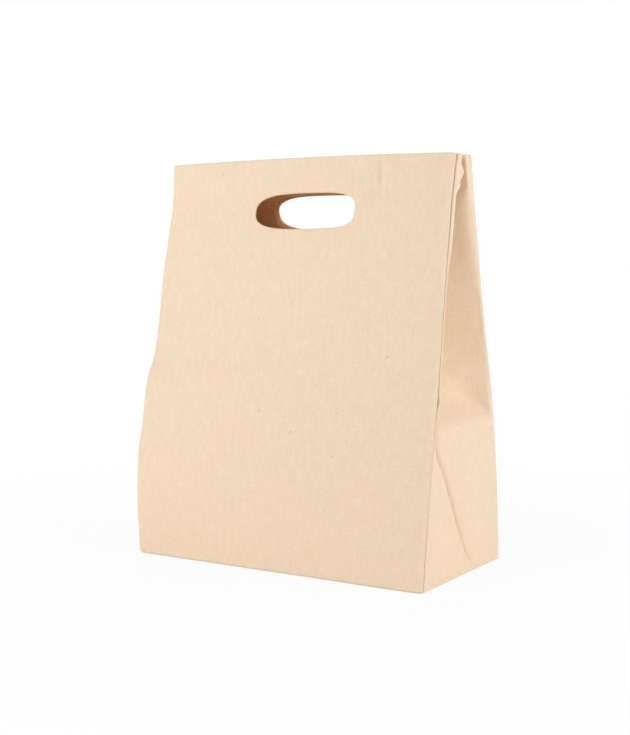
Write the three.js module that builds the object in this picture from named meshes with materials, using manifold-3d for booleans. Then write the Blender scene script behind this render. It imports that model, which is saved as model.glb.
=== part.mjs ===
// Reusable shopping bag of natural cotton canvas, standing with its mouth nearly closed.
// Millimetres: X runs along the front, Y from front to back, Z up. The origin is the middle of
// the base, on the surface that the bag stands on. Front and back tip about their folds at the
// base, and the two gussets are tucked low down and pleated inwards above, between them.

import * as THREE from "three";
import { mergeVertices } from "three/addons/utils/BufferGeometryUtils.js";
import Module from "manifold-3d";

// Standing bag
const BAG_WIDTH = 280;
const BAG_DEPTH = 146;
const BAG_HEIGHT = 342;
const MOUTH_FORWARD = 5.5;
const BASE_CORNER_RADIUS = 3;

// Soft crease across the front and the back, left by folding the bag flat
const CREASE_HEIGHT = 150;
const CREASE_BULGE = 8;
const CREASE_ROUND = 45;
const WALL_STEPS = 18;
const CORNER_STEPS = 6;

// Swell of the front below that crease, full at the left edge and gone at the right one
const SWELL_DEPTH = 7.7;
const SWELL_FOOT = 15;
const SWELL_TOP = 175;
const SWELL_FADE = 1.5;
const SWELL_STEPS = 8;

// Canvas, the clearance between layers that touch, and the seams
const CANVAS = 1;
const LAYER_GAP = 0.3;
const SEAM_ALLOWANCE = 10;
const BINDING_THICKNESS = 2.4;
const BINDING_FOOT = 12;
const BINDING_TOP = 2;
const BASE_BINDING_INSET = 5;
const BASE_BINDING_SHORT = 14;

// Hand hole, with corners that are quarters of an ellipse
const HOLE_WIDTH = 98;
const HOLE_HEIGHT = 33;
const HOLE_CORNER_WIDTH = 25;
const HOLE_CORNER_HEIGHT = 13;
const HOLE_BELOW_TOP = 28;
const HOLE_STEPS = 8;

// Facing inside the top of the front and of the back
const FACING_DEPTH = 82;
const FACING_TOP = 1;

// Gusset: the tuck that slants up from the base to the front seam, the pleat that opens above it
// (its depth at the mouth, how soon it deepens and comes to the middle), and its turned hem
const TUCK_HEIGHT = 98;
const TUCK_RUN = 72;
const PLEAT_DEPTH = 59;
const PLEAT_EASE = 2.1;
const PLEAT_TURN = 72;
const PLEAT_SLIT = 1.2;
const FOLD_STEPS = 4;
const GUSSET_ROWS = 16;
const GUSSET_HEM = 28;
const HEM_STEP = 0.5;

// Thread, and how far each row lies from the edge that it holds
const THREAD_WIDTH = 0.8;
const THREAD_HEIGHT = 0.5;
const TOP_STITCH_INSET = 4;
const TOP_STITCH_SIDE = 3;
const HOLE_STITCH_INSET = 3;
const FACING_STITCH_INSET = 4;
const SEAM_STITCH_INSET = 3;
const HEM_STITCH_INSET = 3;

// The pleats and the seam allowances lie between the walls and hold the mouth this far apart
const HEM_THICKNESS = 2 * CANVAS;
const SEAM_STACK = LAYER_GAP + SEAM_ALLOWANCE + LAYER_GAP;
const MOUTH_GAP = 2 * (CANVAS + SEAM_STACK + HEM_THICKNESS) + PLEAT_SLIT;
const FOLD_RADIUS = CANVAS + PLEAT_SLIT / 2;
const GUSSET_FOOT = CANVAS + LAYER_GAP;
const GUSSET_X = BAG_WIDTH / 2 - CANVAS;
const BINDING_X = GUSSET_X - CANVAS - LAYER_GAP;
const FACING_X = BINDING_X - BINDING_THICKNESS - LAYER_GAP;

const FRONT = -1;
const BACK = 1;
const LEFT = -1;
const RIGHT = 1;

const canvas = new THREE.MeshStandardMaterial({ color: "#f0d8bd", roughness: 0.95, metalness: 0 });
const tape = new THREE.MeshStandardMaterial({ color: "#ead2b4", roughness: 0.9, metalness: 0 });
const thread = new THREE.MeshStandardMaterial({ color: "#f3e3cc", roughness: 0.7, metalness: 0 });

const wasm = await Module();
wasm.setup();

// Lines: lists of 2D points

function wallLine(side) {
  const foot = new THREE.Vector2(side * BAG_DEPTH / 2, GUSSET_FOOT);
  const top = new THREE.Vector2(side * MOUTH_GAP / 2 - MOUTH_FORWARD, BAG_HEIGHT);
  const crease = foot.clone().lerp(top, (CREASE_HEIGHT - foot.y) / (top.y - foot.y));
  crease.x += side * CREASE_BULGE;
  const below = crease.clone().lerp(foot, CREASE_ROUND / crease.distanceTo(foot));
  const above = crease.clone().lerp(top, CREASE_ROUND / crease.distanceTo(top));
  const path = new THREE.Path();
  path.moveTo(foot.x, foot.y);
  path.lineTo(below.x, below.y);
  path.quadraticCurveTo(crease.x, crease.y, above.x, above.y);
  path.lineTo(top.x, top.y);
  return path.getSpacedPoints(WALL_STEPS);
}

// How far the front stands out of its wall line
function swell(x, height) {
  const across = THREE.MathUtils.clamp(1 / 2 - x / BAG_WIDTH, 0, 1);
  const up = THREE.MathUtils.clamp((height - SWELL_FOOT) / (SWELL_TOP - SWELL_FOOT), 0, 1);
  return SWELL_DEPTH * across ** SWELL_FADE * Math.sin(Math.PI * up);
}

function lineLength(points) {
  return points.slice(1).reduce((sum, point, i) => sum + point.distanceTo(points[i]), 0);
}

// The part of a line between two lengths measured from its start
function stretch(points, from, to) {
  const kept = [];
  let walked = 0;
  for (let i = 0; i < points.length - 1; i += 1) {
    const step = points[i].distanceTo(points[i + 1]);
    const start = Math.max(from - walked, 0) / step;
    const end = Math.min((to - walked) / step, 1);
    if (start < end) {
      if (kept.length === 0) kept.push(points[i].clone().lerp(points[i + 1], start));
      kept.push(points[i].clone().lerp(points[i + 1], end));
    }
    walked += step;
  }
  return kept;
}

// A line moved sideways to its left, with mitred corners
function offset(points, distance) {
  const normals = points.slice(1).map((point, i) => {
    const along = point.clone().sub(points[i]).normalize();
    return new THREE.Vector2(-along.y, along.x);
  });
  return points.map((point, i) => {
    const before = normals[Math.max(i - 1, 0)];
    const after = normals[Math.min(i, normals.length - 1)];
    const sum = before.clone().add(after);
    return point.clone().addScaledVector(sum, 2 * distance / sum.lengthSq());
  });
}

function moved(points, y) {
  return points.map((point) => new THREE.Vector2(point.x + y, point.y));
}

// Y of a wall line at a height, carried on straight past its ends
function acrossAt(points, height) {
  const last = points.length - 2;
  const found = points.findIndex((point, i) => i <= last && height <= points[i + 1].y);
  const i = found < 0 ? last : found;
  const share = (height - points[i].y) / (points[i + 1].y - points[i].y);
  return THREE.MathUtils.lerp(points[i].x, points[i + 1].x, share);
}

// Solids

// A closed outline in Y and Z, run along X
function runAlongX(near, far, fromX, toX) {
  const shape = new THREE.Shape([...near, ...far.slice().reverse()]);
  const steps = Math.ceil(SWELL_STEPS * (toX - fromX) / BAG_WIDTH);
  const solid = new THREE.ExtrudeGeometry(shape, { depth: toX - fromX, steps, bevelEnabled: false });
  const turn = new THREE.Matrix4().makeBasis(
    new THREE.Vector3(0, 1, 0), new THREE.Vector3(0, 0, 1), new THREE.Vector3(1, 0, 0));
  return solid.applyMatrix4(turn).translate(fromX, 0, 0);
}

// A strip from middle to edge on one side: lies from inner to outer, measured along +X or -X
function runAtSide(near, far, hand, inner, outer) {
  return runAlongX(near, far, Math.min(hand * inner, hand * outer), Math.max(hand * inner, hand * outer));
}

// A layer of a wall between two depths, measured in from the wall's outer face
function layer(line, side, fromDepth, toDepth, fromX, toX) {
  return runAlongX(offset(line, side * fromDepth), offset(line, side * toDepth), fromX, toX);
}

// A piece of a wall, pushed out where the front swells
function swelled(geometry, side) {
  if (side === BACK) return geometry;
  const points = geometry.attributes.position;
  for (let i = 0; i < points.count; i += 1) {
    points.setY(i, points.getY(i) - swell(points.getX(i), points.getZ(i)));
  }
  geometry.computeVertexNormals();
  return geometry;
}

function toManifold(geometry) {
  const bare = geometry.clone();
  bare.deleteAttribute("normal");
  bare.deleteAttribute("uv");
  const merged = mergeVertices(bare);
  return new wasm.Manifold(new wasm.Mesh({
    numProp: 3,
    vertProperties: new Float32Array(merged.attributes.position.array),
    triVerts: new Uint32Array(merged.index.array),
  }));
}

function cut(geometry, cutter) {
  const mesh = toManifold(geometry).subtract(toManifold(cutter)).getMesh();
  const result = new THREE.BufferGeometry();
  result.setAttribute("position", new THREE.BufferAttribute(mesh.vertProperties, 3));
  result.setIndex(new THREE.BufferAttribute(mesh.triVerts, 1));
  result.computeVertexNormals();
  return result;
}

// A strip of cloth that stands on edge: each row is its middle line at one height
function standingStrip(rows, hand) {
  const positions = [];
  const index = [];
  const count = 2 * rows[0].line.length;
  for (const { line, height, outside, inside } of rows) {
    const ring = [...offset(line, inside), ...offset(line, -outside).reverse()];
    for (const point of ring) positions.push(hand * point.x, point.y, height);
  }
  const quad = (a, b, c, d) => {
    if (hand === RIGHT) index.push(a, b, c, a, c, d);
    else index.push(a, c, b, a, d, c);
  };
  // Both faces are split along the same diagonals, which keeps the twisted cloth of one thickness
  for (let row = 0; row < rows.length - 1; row += 1) {
    for (let i = 0; i < count; i += 1) {
      const next = (i + 1) % count;
      const low = row * count;
      const high = low + count;
      if (i < count / 2) quad(low + next, low + i, high + i, high + next);
      else quad(low + i, high + i, high + next, low + next);
    }
  }
  const topRow = (rows.length - 1) * count;
  for (let i = 0; i < count / 2 - 1; i += 1) {
    const opposite = count - 1 - i;
    quad(i, i + 1, opposite - 1, opposite);
    quad(topRow + i + 1, topRow + i, topRow + opposite, topRow + opposite - 1);
  }
  const solid = new THREE.BufferGeometry();
  solid.setAttribute("position", new THREE.Float32BufferAttribute(positions, 3));
  solid.setIndex(index);
  solid.computeVertexNormals();
  return solid;
}

function add(group, name, geometry, material) {
  const mesh = new THREE.Mesh(geometry, material);
  mesh.name = name;
  group.add(mesh);
}

// Base: the floor of the bag, and the bound seam along each end of it

function basePanel() {
  const x = BAG_WIDTH / 2;
  const y = BAG_DEPTH / 2;
  const r = BASE_CORNER_RADIUS;
  const shape = new THREE.Shape();
  shape.moveTo(r - x, -y);
  shape.lineTo(x - r, -y);
  shape.absarc(x - r, r - y, r, -Math.PI / 2, 0);
  shape.lineTo(x, y - r);
  shape.absarc(x - r, y - r, r, 0, Math.PI / 2);
  shape.lineTo(r - x, y);
  shape.absarc(r - x, y - r, r, Math.PI / 2, Math.PI);
  shape.lineTo(-x, r - y);
  shape.absarc(r - x, r - y, r, Math.PI, 3 * Math.PI / 2);
  return new THREE.ExtrudeGeometry(shape, { depth: CANVAS, bevelEnabled: false, curveSegments: CORNER_STEPS });
}

function lyingStrip(hand, inner, outer, short, low, high) {
  const y = BAG_DEPTH / 2 - short;
  const near = [new THREE.Vector2(-y, low), new THREE.Vector2(y, low)];
  const far = [new THREE.Vector2(-y, high), new THREE.Vector2(y, high)];
  return runAtSide(near, far, hand, inner, outer);
}

function addBaseSeam(group, name, hand) {
  const outer = BAG_WIDTH / 2 - BASE_BINDING_INSET;
  const inner = outer - SEAM_ALLOWANCE;
  const low = CANVAS + LAYER_GAP;
  const high = low + BINDING_THICKNESS;
  const threadX = inner + SEAM_STITCH_INSET;
  const threadLow = high + LAYER_GAP;
  add(group, `${name}_base_binding`, lyingStrip(hand, inner, outer, BASE_BINDING_SHORT, low, high), tape);
  add(group, `${name}_base_thread`,
    lyingStrip(hand, threadX, threadX + THREAD_WIDTH, BASE_BINDING_SHORT + SEAM_STITCH_INSET,
      threadLow, threadLow + THREAD_HEIGHT), thread);
}

// Gussets: flat but for the tuck low down, pleated inwards more and more towards the mouth

const frontLine = offset(wallLine(FRONT), FRONT * CANVAS);
const backLine = offset(wallLine(BACK), BACK * CANVAS);

// Inner faces of the two walls beside a gusset
function insideFront(hand, height) {
  return acrossAt(frontLine, height) - swell(hand * GUSSET_X, height);
}

function insideBack(height) {
  return acrossAt(backLine, height);
}

// The pleated part of a gusset's middle line, between the seam allowances
function pleatLine(hand, height) {
  const front = insideFront(hand, height) + SEAM_STACK + CANVAS;
  const back = insideBack(height) - SEAM_STACK - CANVAS;
  const beside = front + 2 * FOLD_RADIUS;
  const turned = THREE.MathUtils.smoothstep(height, TUCK_HEIGHT, TUCK_HEIGHT + PLEAT_TURN);
  const tucked = TUCK_RUN * Math.max(1 - height / TUCK_HEIGHT, 0);
  const fold = THREE.MathUtils.lerp(beside + tucked, (front + back) / 2, turned);
  const rise = Math.max(height - TUCK_HEIGHT, 0) / (BAG_HEIGHT - TUCK_HEIGHT);
  const depth = FOLD_RADIUS + (PLEAT_DEPTH - FOLD_RADIUS) * (1 - (1 - rise) ** PLEAT_EASE);
  const line = [new THREE.Vector2(GUSSET_X, front)];
  for (let i = 0; i <= FOLD_STEPS; i += 1) {
    const angle = Math.PI * (i / FOLD_STEPS - 1 / 2);
    const x = GUSSET_X - depth + FOLD_RADIUS * (1 - Math.cos(angle));
    line.push(new THREE.Vector2(x, fold + FOLD_RADIUS * Math.sin(angle)));
  }
  line.push(new THREE.Vector2(GUSSET_X, back));
  return line;
}

function gussetLine(hand, height) {
  const front = new THREE.Vector2(GUSSET_X, insideFront(hand, height) + LAYER_GAP);
  const back = new THREE.Vector2(GUSSET_X, insideBack(height) - LAYER_GAP);
  return [front, ...pleatLine(hand, height), back];
}

const hemFoot = BAG_HEIGHT - GUSSET_HEM;
const hemThreadFoot = hemFoot + HEM_STITCH_INSET;
const hemThreadRows = [hemThreadFoot, hemThreadFoot + THREAD_WIDTH];

function gusset(hand) {
  const rows = [];
  for (let i = 0; i <= GUSSET_ROWS; i += 1) {
    const height = THREE.MathUtils.lerp(GUSSET_FOOT, hemFoot, i / GUSSET_ROWS);
    rows.push({ line: gussetLine(hand, height), height, outside: CANVAS / 2, inside: CANVAS / 2 });
  }
  for (const height of [hemFoot + HEM_STEP, ...hemThreadRows, BAG_HEIGHT]) {
    rows.push({ line: gussetLine(hand, height), height, outside: HEM_THICKNESS / 2, inside: HEM_THICKNESS / 2 });
  }
  return standingStrip(rows, hand);
}

function gussetThread(hand) {
  const near = HEM_THICKNESS / 2 + LAYER_GAP;
  const end = GUSSET_X - FACING_X + TOP_STITCH_SIDE;
  const rows = hemThreadRows.map((height) => {
    const pleat = pleatLine(hand, height);
    const line = stretch(pleat, end, lineLength(pleat) - end);
    return { line, height, outside: -near, inside: near + THREAD_HEIGHT };
  });
  return standingStrip(rows, hand);
}

// Front and back: panel, facing, hand hole, and the bound seam at each side

// The hand hole's outline, or a line round it at a distance
function holeShape(grow) {
  const x = HOLE_WIDTH / 2 + grow;
  const y = HOLE_HEIGHT / 2 + grow;
  const rx = HOLE_CORNER_WIDTH + grow;
  const ry = HOLE_CORNER_HEIGHT + grow;
  const shape = new THREE.Shape();
  shape.moveTo(rx - x, -y);
  shape.lineTo(x - rx, -y);
  shape.absellipse(x - rx, ry - y, rx, ry, -Math.PI / 2, 0);
  shape.lineTo(x, y - ry);
  shape.absellipse(x - rx, y - ry, rx, ry, 0, Math.PI / 2);
  shape.lineTo(rx - x, y);
  shape.absellipse(rx - x, y - ry, rx, ry, Math.PI / 2, Math.PI);
  shape.lineTo(-x, ry - y);
  shape.absellipse(rx - x, ry - y, rx, ry, Math.PI, 3 * Math.PI / 2);
  return shape;
}

// A shape laid on a wall round the hand hole, between two depths in from the outer face
function onWall(shape, line, side, fromDepth, toDepth) {
  const [below, top] = line.slice(-2);
  const up = top.clone().sub(below).normalize();
  const middle = top.clone().addScaledVector(up, -HOLE_BELOW_TOP - HOLE_HEIGHT / 2);
  const out = new THREE.Vector3(0, -up.y, up.x);
  const from = side === FRONT ? -toDepth : fromDepth;
  const turn = new THREE.Matrix4().makeBasis(
    new THREE.Vector3(1, 0, 0), new THREE.Vector3(0, up.x, up.y), out);
  const solid = new THREE.ExtrudeGeometry(shape, {
    depth: toDepth - fromDepth, bevelEnabled: false, curveSegments: HOLE_STEPS });
  return solid.translate(0, 0, from).applyMatrix4(turn).translate(0, middle.x, middle.y);
}

function holeThread(line, side, depth) {
  const ring = holeShape(HOLE_STITCH_INSET + THREAD_WIDTH);
  ring.holes.push(holeShape(HOLE_STITCH_INSET));
  return onWall(ring, line, side, depth, depth + THREAD_HEIGHT);
}

function addWallSeam(group, name, line, side, hand) {
  const length = lineLength(line);
  const inside = offset(line, side * CANVAS);
  const bound = stretch(inside, BINDING_FOOT, length - BINDING_TOP);
  const into = -side;
  const near = moved(bound, into * LAYER_GAP);
  const far = moved(bound, into * (LAYER_GAP + SEAM_ALLOWANCE));
  const inner = BINDING_X - BINDING_THICKNESS;
  const bindingSolid = runAtSide(near, far, hand, inner, BINDING_X);
  add(group, `${name}_binding`, swelled(bindingSolid, side), tape);

  const sewn = stretch(inside, BINDING_FOOT + SEAM_STITCH_INSET, length - BINDING_TOP - SEAM_STITCH_INSET);
  const threadY = LAYER_GAP + SEAM_ALLOWANCE - SEAM_STITCH_INSET;
  const threadNear = moved(sewn, into * (threadY - THREAD_WIDTH));
  const threadFar = moved(sewn, into * threadY);
  const threadX = inner - LAYER_GAP;
  const threadSolid = runAtSide(threadNear, threadFar, hand, threadX - THREAD_HEIGHT, threadX);
  add(group, `${name}_thread`, swelled(threadSolid, side), thread);
}

function addWall(group, name, side) {
  const line = wallLine(side);
  const length = lineLength(line);
  const facingIn = CANVAS + LAYER_GAP;
  const threadIn = facingIn + CANVAS + LAYER_GAP;
  const hole = onWall(holeShape(0), line, side, -threadIn, 2 * threadIn);

  const panel = swelled(layer(line, side, 0, CANVAS, -BAG_WIDTH / 2, BAG_WIDTH / 2), side);
  add(group, `${name}_panel`, cut(panel, hole), canvas);

  const faced = stretch(line, length - FACING_DEPTH, length - FACING_TOP);
  const facing = layer(faced, side, facingIn, facingIn + CANVAS, -FACING_X, FACING_X);
  add(group, `${name}_facing`, cut(facing, hole), canvas);

  const topRow = length - TOP_STITCH_INSET;
  const topX = BAG_WIDTH / 2 - TOP_STITCH_SIDE;
  add(group, `${name}_top_thread`,
    layer(stretch(line, topRow - THREAD_WIDTH, topRow), side,
      -LAYER_GAP - THREAD_HEIGHT, -LAYER_GAP, -topX, topX), thread);

  const hemRow = length - FACING_DEPTH + FACING_STITCH_INSET;
  const hemX = FACING_X - TOP_STITCH_SIDE;
  add(group, `${name}_facing_thread`,
    layer(stretch(line, hemRow, hemRow + THREAD_WIDTH), side,
      threadIn, threadIn + THREAD_HEIGHT, -hemX, hemX), thread);

  add(group, `${name}_hole_thread`, holeThread(line, side, threadIn), thread);
  addWallSeam(group, `${name}_left_seam`, line, side, LEFT);
  addWallSeam(group, `${name}_right_seam`, line, side, RIGHT);
}

// Assembly

const base = new THREE.Group();
add(base, "base_panel", basePanel(), canvas);
for (const [name, hand] of [["left", LEFT], ["right", RIGHT]]) {
  add(base, `${name}_gusset`, gusset(hand), canvas);
  add(base, `${name}_gusset_thread`, gussetThread(hand), thread);
  addBaseSeam(base, name, hand);
}

const frontWall = new THREE.Group();
addWall(frontWall, "front", FRONT);

const backWall = new THREE.Group();
addWall(backWall, "back", BACK);

const bag = new THREE.Group();
bag.add(base, frontWall, backWall);

export default bag;
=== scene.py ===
import math
from functools import lru_cache

import bpy
from mathutils import Matrix, Vector, noise


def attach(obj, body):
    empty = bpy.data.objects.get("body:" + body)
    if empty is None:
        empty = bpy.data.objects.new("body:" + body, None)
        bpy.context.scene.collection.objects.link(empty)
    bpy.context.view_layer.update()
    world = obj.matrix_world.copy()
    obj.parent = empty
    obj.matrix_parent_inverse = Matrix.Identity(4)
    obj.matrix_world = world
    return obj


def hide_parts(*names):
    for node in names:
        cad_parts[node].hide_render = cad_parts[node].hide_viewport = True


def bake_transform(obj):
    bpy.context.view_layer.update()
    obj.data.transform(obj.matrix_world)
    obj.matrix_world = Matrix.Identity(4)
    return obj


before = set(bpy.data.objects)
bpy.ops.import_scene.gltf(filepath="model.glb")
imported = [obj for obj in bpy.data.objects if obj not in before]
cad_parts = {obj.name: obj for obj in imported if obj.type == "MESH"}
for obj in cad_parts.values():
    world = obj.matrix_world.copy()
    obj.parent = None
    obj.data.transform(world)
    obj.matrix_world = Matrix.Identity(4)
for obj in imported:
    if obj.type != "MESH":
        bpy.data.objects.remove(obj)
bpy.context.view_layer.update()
bpy.ops.object.select_all(action="DESELECT")


# Base panel: the floor of the bag, a rectangle of natural cotton canvas.
# It is cut flat, lies at the foot of the bag, and is sewn along its two ends to the gussets.
MM = 0.001
CANVAS = 1.0
SMOOTH_ANGLE = 1.1
BASE_HALF_WIDTH = 138.6
BASE_HALF_DEPTH = 70.4
BASE_MIDDLE_HEIGHT = 0.6
BASE_LIFT = 0.25
BASE_LIFT_EDGE = 20
BASE_RIPPLE = 40
BASE_SEED = 3
BASE_MESH = 6

# The canvas's pattern: lengths in metres of cloth, and scales in repeats to a metre
YARN = 0.00062
WAVE_TURN = 20
SLUB_STRETCH = ((2200, 420, 1), (420, 2200, 1))
SLUB_SCALE = 0.35
STREAK_STRETCH = (270, 70, 1)
FUZZ_SCALE = 800.0
PATCH_SCALE = 24.0
PATCH_STRENGTH = 0.3
HUSK_SCALE = 95.0
HUSK_SIZE = 0.09
HUSK_CHANCE = 0.12
HUSK_STRENGTH = 0.24
SLUB_RELIEF = 0.9
WEAVE_RELIEF = 0.00014


def evenly(start, end, step):
    """Values from start to end, about one step apart."""
    count = max(1, round(abs(end - start) / step))
    return [start + (end - start) * i / count for i in range(count + 1)]


def cloth(name, columns, rows):
    """A flat sheet whose grid lines lie at the given millimetres across and up."""
    bpy.ops.object.select_all(action="DESELECT")
    across, up = len(columns) - 1, len(rows) - 1
    bpy.ops.mesh.primitive_grid_add(x_subdivisions=across, y_subdivisions=up, size=1)
    piece = bpy.context.object
    piece.name = piece.data.name = name
    for point in piece.data.vertices:
        column = round((point.co.x + 0.5) * across)
        row = round((point.co.y + 0.5) * up)
        point.co = (columns[column], rows[row], 0)
    return piece


def lay_weave(piece):
    """The weave follows the flat cut: one unit of the map is a metre of cloth."""
    weave = piece.data.uv_layers.active.data
    for corner in piece.data.loops:
        weave[corner.index].uv = piece.data.vertices[corner.vertex_index].co.xy * MM


def shape_cloth(piece, place):
    """Each point of the flat sheet goes to its place on the bag."""
    for point in piece.data.vertices:
        point.co = Vector(place(point.co.x, point.co.y)) * MM


def give_thickness(piece, thickness, crisp=0):
    """The sheet becomes cloth with two faces, and its edges are soft unless they are to be crisp."""
    bpy.ops.object.select_all(action="DESELECT")
    piece.select_set(True)
    bpy.context.view_layer.objects.active = piece
    layer = piece.modifiers.new("thickness", "SOLIDIFY")
    layer.thickness = thickness * MM
    layer.offset = 0
    layer.edge_crease_inner = layer.edge_crease_outer = layer.edge_crease_rim = crisp
    bpy.ops.object.modifier_apply(modifier=layer.name)
    soft = piece.modifiers.new("softness", "SUBSURF")
    soft.levels = soft.render_levels = 1
    bpy.ops.object.modifier_apply(modifier=soft.name)
    bpy.ops.object.shade_smooth_by_angle(angle=SMOOTH_ANGLE)


def colour(red, green, blue):
    """A colour as it is seen, 0 to 255, in linear light."""
    seen = [value / 255 for value in (red, green, blue)]
    light = [s / 12.92 if s <= 0.04045 else ((s + 0.055) / 1.055) ** 2.4 for s in seen]
    return (*light, 1)


def add_node(material, kind, **inputs):
    """A new node with its inputs set or linked."""
    node = material.node_tree.nodes.new(kind)
    return wire(material, node, **inputs)


def wire(material, node, **inputs):
    """Sets or links inputs, by name with spaces as underscores, or by number as n0, n1 and so on."""
    for name, value in inputs.items():
        key = int(name[1:]) if name[0] == "n" and name[1:].isdigit() else name.replace("_", " ")
        if isinstance(value, bpy.types.NodeSocket):
            material.node_tree.links.new(value, node.inputs[key])
        else:
            node.inputs[key].default_value = value
    return node


def combined(material, operation, a, b):
    """Two values put together by one operation of arithmetic."""
    node = add_node(material, "ShaderNodeMath", n0=a, n1=b)
    node.operation = operation
    return node.outputs[0]


def mixed(material, share, under, over):
    """One colour over another."""
    node = material.node_tree.nodes.new("ShaderNodeMix")
    node.data_type = "RGBA"
    return wire(material, node, n0=share, n6=under, n7=over).outputs[2]


def natural_canvas(name, dark, light, warmth, rosy):
    """Plain-weave cotton: raised yarns, thicker slubs along them, and dark flecks of seed husk, in the tones
    given: undyed canvas, or for the facings a deep brown of painted shade.
    """
    canvas = bpy.data.materials.new(name)
    canvas.use_nodes = True
    shader = canvas.node_tree.nodes["Principled BSDF"]
    weave = add_node(canvas, "ShaderNodeUVMap").outputs["UV"]

    def stretched(by):
        return add_node(canvas, "ShaderNodeMapping", Vector=weave, Scale=by).outputs[0]

    def cloudy(place, scale, detail):
        cloud = add_node(canvas, "ShaderNodeTexNoise", Vector=place, Scale=scale, Detail=detail)
        return cloud.outputs["Fac"]

    squares = add_node(canvas, "ShaderNodeTexChecker", Vector=weave, Scale=1 / YARN).outputs["Fac"]
    yarns = []
    for direction in ("X", "Y"):
        wave = add_node(canvas, "ShaderNodeTexWave", Vector=weave, Scale=1 / YARN / WAVE_TURN)
        wave.bands_direction = direction
        yarns.append(wave.outputs["Fac"])
    over = add_node(canvas, "ShaderNodeMix", Factor=squares, n2=yarns[0], n3=yarns[1]).outputs[0]

    slub = combined(canvas, "ADD", *[cloudy(stretched(by), SLUB_SCALE, 2.0) for by in SLUB_STRETCH])
    fuzz = cloudy(weave, FUZZ_SCALE, 3.0)
    grain = combined(canvas, "ADD", *[combined(canvas, "MULTIPLY", part, 0.5) for part in (slub, fuzz)])
    pale = add_node(canvas, "ShaderNodeValToRGB", Fac=grain)
    pale.color_ramp.elements[0].position = 0.52
    pale.color_ramp.elements[0].color = dark
    pale.color_ramp.elements[1].position = 0.98
    pale.color_ramp.elements[1].color = light
    streaks = add_node(canvas, "ShaderNodeMapRange", Value=cloudy(stretched(STREAK_STRETCH), 1.0, 4.0))
    wire(canvas, streaks, From_Min=0.35, From_Max=0.65, To_Min=0.0, To_Max=0.45)
    warm = mixed(canvas, streaks.outputs[0], pale.outputs[0], warmth)
    patches = combined(canvas, "MULTIPLY", cloudy(weave, PATCH_SCALE, 2.0), PATCH_STRENGTH)
    uneven = mixed(canvas, patches, warm, rosy)

    husks = add_node(canvas, "ShaderNodeTexVoronoi", Vector=weave, Scale=HUSK_SCALE)
    small = combined(canvas, "LESS_THAN", husks.outputs["Distance"], HUSK_SIZE)
    chance = add_node(canvas, "ShaderNodeSeparateColor", Color=husks.outputs["Color"]).outputs[0]
    rare = combined(canvas, "LESS_THAN", chance, HUSK_CHANCE)
    fleck = combined(canvas, "MULTIPLY", combined(canvas, "MULTIPLY", small, rare), HUSK_STRENGTH)
    spotted = mixed(canvas, fleck, uneven, colour(146, 104, 66))

    raised = combined(canvas, "ADD", over, combined(canvas, "MULTIPLY", slub, SLUB_RELIEF))
    bump = add_node(canvas, "ShaderNodeBump", Height=raised, Strength=0.4, Distance=WEAVE_RELIEF)
    wire(canvas, shader, Base_Color=spotted, Normal=bump.outputs[0], Roughness=0.95)
    wire(canvas, shader, Specular_IOR_Level=0.15, Sheen_Weight=0.12, Sheen_Roughness=0.6)
    return canvas


canvas = natural_canvas(
    "natural_canvas",
    dark=colour(237, 213, 184),
    light=colour(249, 229, 204),
    warmth=colour(238, 210, 178),
    rosy=colour(250, 216, 192),
)

base_panel = cloth(
    "base_panel_cloth",
    evenly(-BASE_HALF_WIDTH, BASE_HALF_WIDTH, BASE_MESH),
    evenly(-BASE_HALF_DEPTH, BASE_HALF_DEPTH, BASE_MESH),
)
lay_weave(base_panel)


def on_base(x, y):
    from_edge = min(BASE_HALF_WIDTH - abs(x), BASE_HALF_DEPTH - abs(y))
    wave = 1 + noise.noise(Vector((x / BASE_RIPPLE, y / BASE_RIPPLE, BASE_SEED)))
    return x, y, BASE_MIDDLE_HEIGHT + BASE_LIFT * min(1, from_edge / BASE_LIFT_EDGE) * wave


shape_cloth(base_panel, on_base)
give_thickness(base_panel, CANVAS)
base_panel.data.materials.append(canvas)
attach(base_panel, "base")
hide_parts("base_panel")


# Front and back: two tall panels of the same canvas, each with a hand hole near the top.
# They stand up from the base, lean together at the mouth, and roll inwards at their side seams.
INWARD = {"front": 1, "back": -1}
HALF_WIDTH = 140.2
HEIGHT = 342
QUARTER = math.pi / 2
SIDE_INSET = {"front": 0.9, "back": 2.6}
SIDE_ROLL = 0.55
SIDE_TURN = 2.6
SIDE_TUCK = 0.3
SIDE_START = {side: HALF_WIDTH - inset - SIDE_ROLL for side, inset in SIDE_INSET.items()}
SHOULDER = 4.5
SHOULDER_DEPTH = 2.2
FOOT_ROLL = 2.0
FOOT_TUCK = 0.8
FOOT_START = CANVAS / 2 + FOOT_ROLL
TOP_ROLL = 0.9
TOP_TURN = 2
TOP_TUCK = 0.2
TOP_START = HEIGHT - CANVAS / 2 - TOP_ROLL
TOP_BOW = 1.8
TOP_BOW_START = 300
SWELL_EASE = 1.5
STITCH_LINE = 337.6
SLOPE_STEP = 2
PANEL_COLUMN = 3.6
PANEL_ROW = 4.2

# The front's columns are twice as close between these, where it is creased
FINE_COLUMNS = (45, 84)

# The hand hole, which is rounder at its left end, and how its edge turns
HOLE_X = {"front": 3.8, "back": -2}
HOLE_Z = 298.4
HOLE_HALF_WIDTH = 49.3
HOLE_HALF_HEIGHT = 14.7
HOLE_LEFT_SQUARENESS = 2.9
HOLE_RIGHT_SQUARENESS = 3.7
HOLE_REACH = 20
HOLE_LINES = (1.2, 3, 6)
HOLE_ROW_STEP = 3
HOLE_EDGE_TURN = 0.7
HOLE_EDGE_ROUND = 0.7
HOLE_FLARE = 3
HOLE_FLARE_WIDTH = 1.1
HOLE_FLARE_LEFT = 25
HOLE_FLARE_TOP = 9
HOLE_FLARE_RISE = 16
HOLE_FLARE_LEAST = 0.3

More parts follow.
